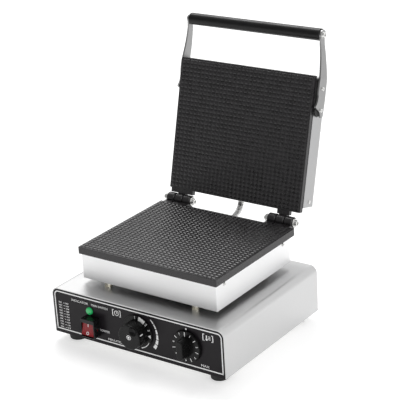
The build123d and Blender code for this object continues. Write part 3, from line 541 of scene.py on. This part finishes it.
bm = bmesh.new()
border_x = panel_half - 0.0046
border_top = panel_high - 0.0048
border_low = panel_low + 0.0062
border_turn = 0.0062
border_line = 0.0016
add_bar(bm, on_panel(0, border_top), 2 * (border_x - border_turn), border_line)
add_bar(bm, on_panel(0, border_low), 2 * border_x + border_line, border_line)
for side in (-1, 1):
    upright_length = border_top - border_turn - border_low
    middle = (border_top - border_turn + border_low) / 2
    add_bar(bm, on_panel(side * border_x, middle, math.pi / 2), upright_length, border_line)
    corner = on_panel(side * (border_x - border_turn), border_top - border_turn)
    start, stop = (0, 90) if side > 0 else (90, 180)
    add_arc(bm, corner, border_turn, start, stop, border_line, border_line, 8)

heat_rows = 10
heat_top, heat_low = 0.0590, 0.0215
for row in range(heat_rows):
    z = heat_top + (heat_low - heat_top) * row / (heat_rows - 1)
    celsius = 30 * (row + 1)
    add_text(bm, on_panel(-0.1308, z), f"{celsius}C", 0.0031, 0.0060)
    add_bar(bm, on_panel(-0.1242, z), 0.0024, 0.0006)
    add_text(bm, on_panel(-0.1188, z), f"{celsius * 9 // 5 + 32}F", 0.0031, 0.0056)

# Words, their place across and up, their size and their width
labels = [
    ("INDICATOR", -0.0953, 0.0675, 0.0046, 0.0290),
    ("MAIN SWITCH", -0.0607, 0.0675, 0.0044, 0.0280),
    ("POWER", -0.0544, 0.0327, 0.0048, 0.0165),
    ("MINUTES", -0.0375, 0.0222, 0.0046, 0.0240),
    ("MAX", 0.1115, 0.0226, 0.0048, 0.0130),
]
for words, x, z, size, width in labels:
    add_text(bm, on_panel(x, z), words, size, width)


def add_brackets(bm, x, z, half, tall):
    """Square brackets round a small picture."""
    for side in (-1, 1):
        add_bar(bm, on_panel(x + side * half, z, math.pi / 2), tall, 0.0012)
        for end in (-1, 1):
            add_bar(bm, on_panel(x + side * (half - 0.0011), z + end * (tall / 2 - 0.0004)), 0.0024, 0.0010)


clock_x, clock_z = -0.0314, 0.0655
add_brackets(bm, clock_x, clock_z, 0.0066, 0.0098)
add_arc(bm, on_panel(clock_x, clock_z), 0.0034, 0, 360, 0.0009, 0.0009, 20)
add_bar(bm, on_panel(clock_x, clock_z + 0.0012, math.pi / 2), 0.0026, 0.0008)
add_bar(bm, on_panel(clock_x + 0.0009, clock_z), 0.0020, 0.0008)
heat_x, heat_z = 0.1183, 0.0655
add_brackets(bm, heat_x, heat_z, 0.0078, 0.0098)
add_bar(bm, on_panel(heat_x - 0.0020, heat_z + 0.0008, math.pi / 2), 0.0052, 0.0015)
add_dot(bm, on_panel(heat_x - 0.0020, heat_z - 0.0024), 0.0017)
for step in range(3):
    add_bar(bm, on_panel(heat_x + 0.0024, heat_z - 0.0018 + 0.0020 * step), 0.0036, 0.0008)

timer_centre = (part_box("timer_dial")[0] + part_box("timer_dial")[1]) / 2
heat_centre = (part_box("thermostat_knob")[0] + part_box("thermostat_knob")[1]) / 2
wedge_radius = 0.0318
wedge_parts = 6
wedge_start, wedge_stop = 46.0, -38.0
for part in range(wedge_parts):
    a = wedge_start + (wedge_stop - wedge_start) * part / wedge_parts
    b = wedge_start + (wedge_stop - wedge_start) * (part + 0.84) / wedge_parts
    low = 0.0010 + 0.0038 * part / wedge_parts
    high = 0.0010 + 0.0038 * (part + 1) / wedge_parts
    add_arc(bm, on_panel(timer_centre.x, timer_centre.z), wedge_radius, a, b, low, high, 5)
add_dot(bm, on_panel(heat_centre.x - 0.0008, heat_centre.z + 0.0240), 0.0014)
finish_piece("panel_print", bm, white_ink_and_painted_highlight, "base")

# ---------------------------------------------------------------- switch
# A snap-in rocker switch: a black moulded body with a deep guard round the opening, and a glossy red
# rocker with a white stroke at its on end and a ring at its off end.

black_moulding = coated(
    "black_moulding", grey(0.004), grey(0.009), (0.2, 0.32), scale=1100.0, bump=0.12, specular=0.3
)
dress(["switch_body", "pilot_body"], black_moulding)

red_moulding = coated(
    "red_moulding", (0.20, 0.004, 0.008), (0.32, 0.009, 0.013), (0.16, 0.26),
    scale=300.0, bump=0.04, specular=0.4,
)
dress(["power_rocker"], red_moulding)

# The rocker's face is a shallow hollow: it stands this far out from the pivot in the middle and rises by
# the hollow's depth at its ends. At rest it is pressed in at its top.
rocker_pivot = Vector(next(j for j in frame["joints"] if j["name"] == "rocker_tilt")["pos_m"])
rocker_press = math.radians(12.0)
rocker_middle = 0.0061
rocker_hollow = 0.0007
rocker_half = 0.0088


def on_rocker(up):
    """A place on the rocker's face, at a height above its pivot along the face."""
    forward = rocker_middle + rocker_hollow * (up / rocker_half) ** 2
    lean = Matrix.Rotation(-rocker_press, 4, "X")
    slope = Matrix.Rotation(math.atan(2 * rocker_hollow * up / rocker_half ** 2), 4, "X")
    return Matrix.Translation(rocker_pivot) @ lean @ facing_user(0, -forward, up) @ slope


bm = bmesh.new()
add_bar(bm, on_rocker(0.0056) @ Matrix.Rotation(math.pi / 2, 4, "Z"), 0.0042, 0.0010)
add_arc(bm, on_rocker(-0.0056), 0.0019, 0, 360, 0.0009, 0.0009, 18)
finish_piece("rocker_marks", bm, white_ink_and_painted_highlight, "rocker")

# ---------------------------------------------------------------- pilot lamp
# A green lens with a faint glow, as when the element is on, pushed into the panel.

lamp_green = coated(
    "lamp_green", (0.004, 0.22, 0.055), (0.02, 0.46, 0.14), (0.12, 0.2), scale=260.0, bump=0.1, specular=0.7
)
lamp_shader = lamp_green.node_tree.nodes["Principled BSDF"]
set_shader(lamp_shader, Emission_Color=(0.02, 0.55, 0.14, 1), Emission_Strength=0.25)
dress(["pilot_lens"], lamp_green)

# ---------------------------------------------------------------- timer and thermostat knobs
# Moulded black knobs. The timer's sits on a printed dial that also carries a painted highlight, has a finger
# dimple, and has a printed ring and dot on its cap. The thermostat's has a wide skirt with ticks and numbers
# round a finger bar.

knob_moulding = coated(
    "knob_moulding", grey(0.003), grey(0.007), (0.2, 0.3), scale=1300.0, bump=0.12, specular=0.2
)
dress(["timer_dial", "timer_knob", "thermostat_knob"], knob_moulding)

skirt_thickness = 0.004
dial_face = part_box("timer_dial")[0].y
skirt_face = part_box("thermostat_knob")[1].y - skirt_thickness


def on_dial(centre, face, radius, degrees, turn=None):
    """A place on a dial, its X along the ring unless turned."""
    angle = math.radians(degrees)
    x, z = centre.x + radius * math.cos(angle), centre.z + radius * math.sin(angle)
    return facing_user(x, face - ink_lift, z, angle - math.pi / 2 if turn is None else turn)


bm = bmesh.new()
dial_ring = 0.0213
dial_middle = on_dial(timer_centre, dial_face, 0, 0, 0)
add_text(bm, on_dial(timer_centre, dial_face, dial_ring, 95), "1", 0.0062)
add_arc(bm, dial_middle, dial_ring, 79, 52, 0.0060, 0.0060, 8)
add_text(bm, on_dial(timer_centre, dial_face, dial_ring, 43), "2", 0.0060)
add_text(bm, on_dial(timer_centre, dial_face, dial_ring, 20), "3", 0.0050)
add_dot(bm, on_dial(timer_centre, dial_face, dial_ring, -4, math.radians(90)), 0.0030, 3)
# Painted highlight: this white arc at the lower right stands in for a glint along the edge of a ring.
add_arc(bm, dial_middle, dial_ring + 0.0012, -30, -74, 0.0007, 0.0014, 10)
finish_piece("timer_dial_print_and_painted_highlight", bm, white_ink_and_painted_highlight, "timer_control")

knob_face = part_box("timer_knob")[0].y
knob_side = 0.01845
bm = bmesh.new()
cap_seat = on_dial(timer_centre, knob_face, 0, 0, 0)
add_arc(bm, cap_seat, 0.0030, 0, 360, 0.0009, 0.0009, 20)
add_dot(bm, cap_seat, 0.0015)
side_seat = (
    Matrix.Translation((timer_centre.x, 0, timer_centre.z)) @ Matrix.Rotation(math.radians(-18), 4, "Y")
    @ Matrix.Translation((knob_side, knob_face + 0.0052, 0)) @ Matrix.Rotation(math.pi / 2, 4, "Y")
    @ Matrix.Rotation(math.pi / 2, 4, "Z")
)
add_bar(bm, side_seat, 0.0058, 0.0012)
finish_piece("timer_knob_print", bm, white_ink_and_painted_highlight, "timer_control")

# The first tick is the pointer, and every second one after it is a number
skirt_ticks = 14
tick_pitch = 25.7
bm = bmesh.new()
for tick in range(skirt_ticks):
    degrees = 90 - tick_pitch * tick
    if tick % 2 == 1:
        add_text(bm, on_dial(heat_centre, skirt_face, 0.0190, degrees), str(tick // 2 + 1), 0.0046)
        continue
    ring, length, width = (0.0188, 0.0046, 0.0009) if tick else (0.0185, 0.0064, 0.0010)
    add_bar(bm, on_dial(heat_centre, skirt_face, ring, degrees, math.radians(degrees)), length, width)
finish_piece("thermostat_skirt_print", bm, white_ink_and_painted_highlight, "thermostat_control")

# ---------------------------------------------------------------- feet, sleeve and mains gland
# Moulded black rubber feet are screwed up through the bottom tray. A silicone sleeve guards the wires
# between base and housing, and a black nylon gland at the back takes the mains lead.

foot_rubber = coated("foot_rubber", grey(0.010), grey(0.020), (0.6, 0.8), scale=700.0, bump=0.3)
silicone = coated("silicone", (0.42, 0.40, 0.37), (0.55, 0.53, 0.50), (0.5, 0.65), scale=400.0, bump=0.1)
dress(["feet"], foot_rubber)
dress(["cable_sleeve"], silicone)
dress(["cable_gland"], black_moulding)

# ---------------------------------------------------------------- heating and control parts inside
# Tubular elements darkened by heat, ceramic-fibre blankets, a copper bulb and capillary, brown moulded
# control cases, a glazed terminal block and glass-braided wires. They show only through gaps and vents.

element_skin = brushed_metal(
    "element_tube", (200, 200, 200), (0.12, 0.10, 0.09), (0.30, 0.26, 0.22), (0.4, 0.6)
)
fibre = coated("ceramic_fibre", (0.62, 0.60, 0.55), (0.86, 0.84, 0.80), (0.85, 0.95), scale=500.0, bump=0.8)
copper = brushed_metal("copper", (150, 150, 150), (0.62, 0.30, 0.20), (0.85, 0.48, 0.34), (0.22, 0.4))
case_brown = coated("phenolic", (0.050, 0.028, 0.016), (0.085, 0.05, 0.03), (0.35, 0.5))
glaze = coated("glazed_ceramic", (0.70, 0.69, 0.64), (0.84, 0.83, 0.79), (0.1, 0.2), scale=200.0, bump=0.05)
braid = coated("glass_braid", (0.58, 0.57, 0.53), (0.82, 0.81, 0.77), (0.7, 0.85), scale=1500.0, bump=0.6)
dress(["lower_heater", "upper_heater"], element_skin)
dress(["lower_insulation", "upper_insulation"], fibre)
dress(["sensor_bulb", "capillary_tube"], copper)
dress(["timer_body", "thermostat_body"], case_brown)
dress(["terminal_block"], glaze)
dress(["wiring_loom"], braid)

# ---------------------------------------------------------------- studio
# A pale seamless floor under soft white light that falls off towards the front, so that steel facing
# the user is darker than its tops. One large soft light stands high behind on the left, and a weaker
# one on the right.

scene = bpy.context.scene
scene.view_settings.view_transform = "Standard"
scene.view_settings.look = "None"

world = bpy.data.worlds.new("studio_world")
world.use_nodes = True
sky = world.node_tree
sky_place = sky.nodes.new("ShaderNodeTexCoord")
sky_parts = sky.nodes.new("ShaderNodeSeparateXYZ")
sky_fall = sky.nodes.new("ShaderNodeMapRange")
sky_fall.interpolation_type = "SMOOTHSTEP"
sky_fall.inputs["From Min"].default_value = -0.75
sky_fall.inputs["From Max"].default_value = 0.70
sky_fall.inputs["To Min"].default_value = 0.33
sky_fall.inputs["To Max"].default_value = 1.0
sky.links.new(sky_place.outputs["Generated"], sky_parts.inputs[0])
sky.links.new(sky_parts.outputs["Y"], sky_fall.inputs["Value"])
sky.links.new(sky_fall.outputs[0], sky.nodes["Background"].inputs["Strength"])
sky.nodes["Background"].inputs["Color"].default_value = (1.0, 1.0, 1.0, 1)
scene.world = world

bm = bmesh.new()
bmesh.ops.create_grid(bm, x_segments=1, y_segments=1, size=14.0)
floor_mesh = bpy.data.meshes.new("floor")
bm.to_mesh(floor_mesh)
bm.free()
floor_paint, _, floor_shader = new_material("floor_paint")
set_shader(
    floor_shader, Base_Color=(0.76, 0.76, 0.76, 1), Roughness=0.9, Specular_IOR_Level=0.1,
    Emission_Color=(1, 1, 1, 1), Emission_Strength=0.48,
)
floor_mesh.materials.append(floor_paint)
floor = bpy.data.objects.new("floor", floor_mesh)
scene.collection.objects.link(floor)


def soft_light(name, place, aim, size, watts):
    """A square softbox that points at a place."""
    lamp = bpy.data.lights.new(name, "AREA")
    lamp.shape = "SQUARE"
    lamp.size = size
    lamp.energy = watts
    box = bpy.data.objects.new(name, lamp)
    box.location = place
    box.rotation_mode = "QUATERNION"
    box.rotation_quaternion = (Vector(place) - Vector(aim)).to_track_quat("Z", "Y")
    scene.collection.objects.link(box)


soft_light("key_softbox", (-1.2, 1.3, 2.6), (0, 0, 0.1), 1.4, 36)
soft_light("side_softbox", (2.6, -0.6, 1.5), (0, 0, 0.15), 1.6, 12)
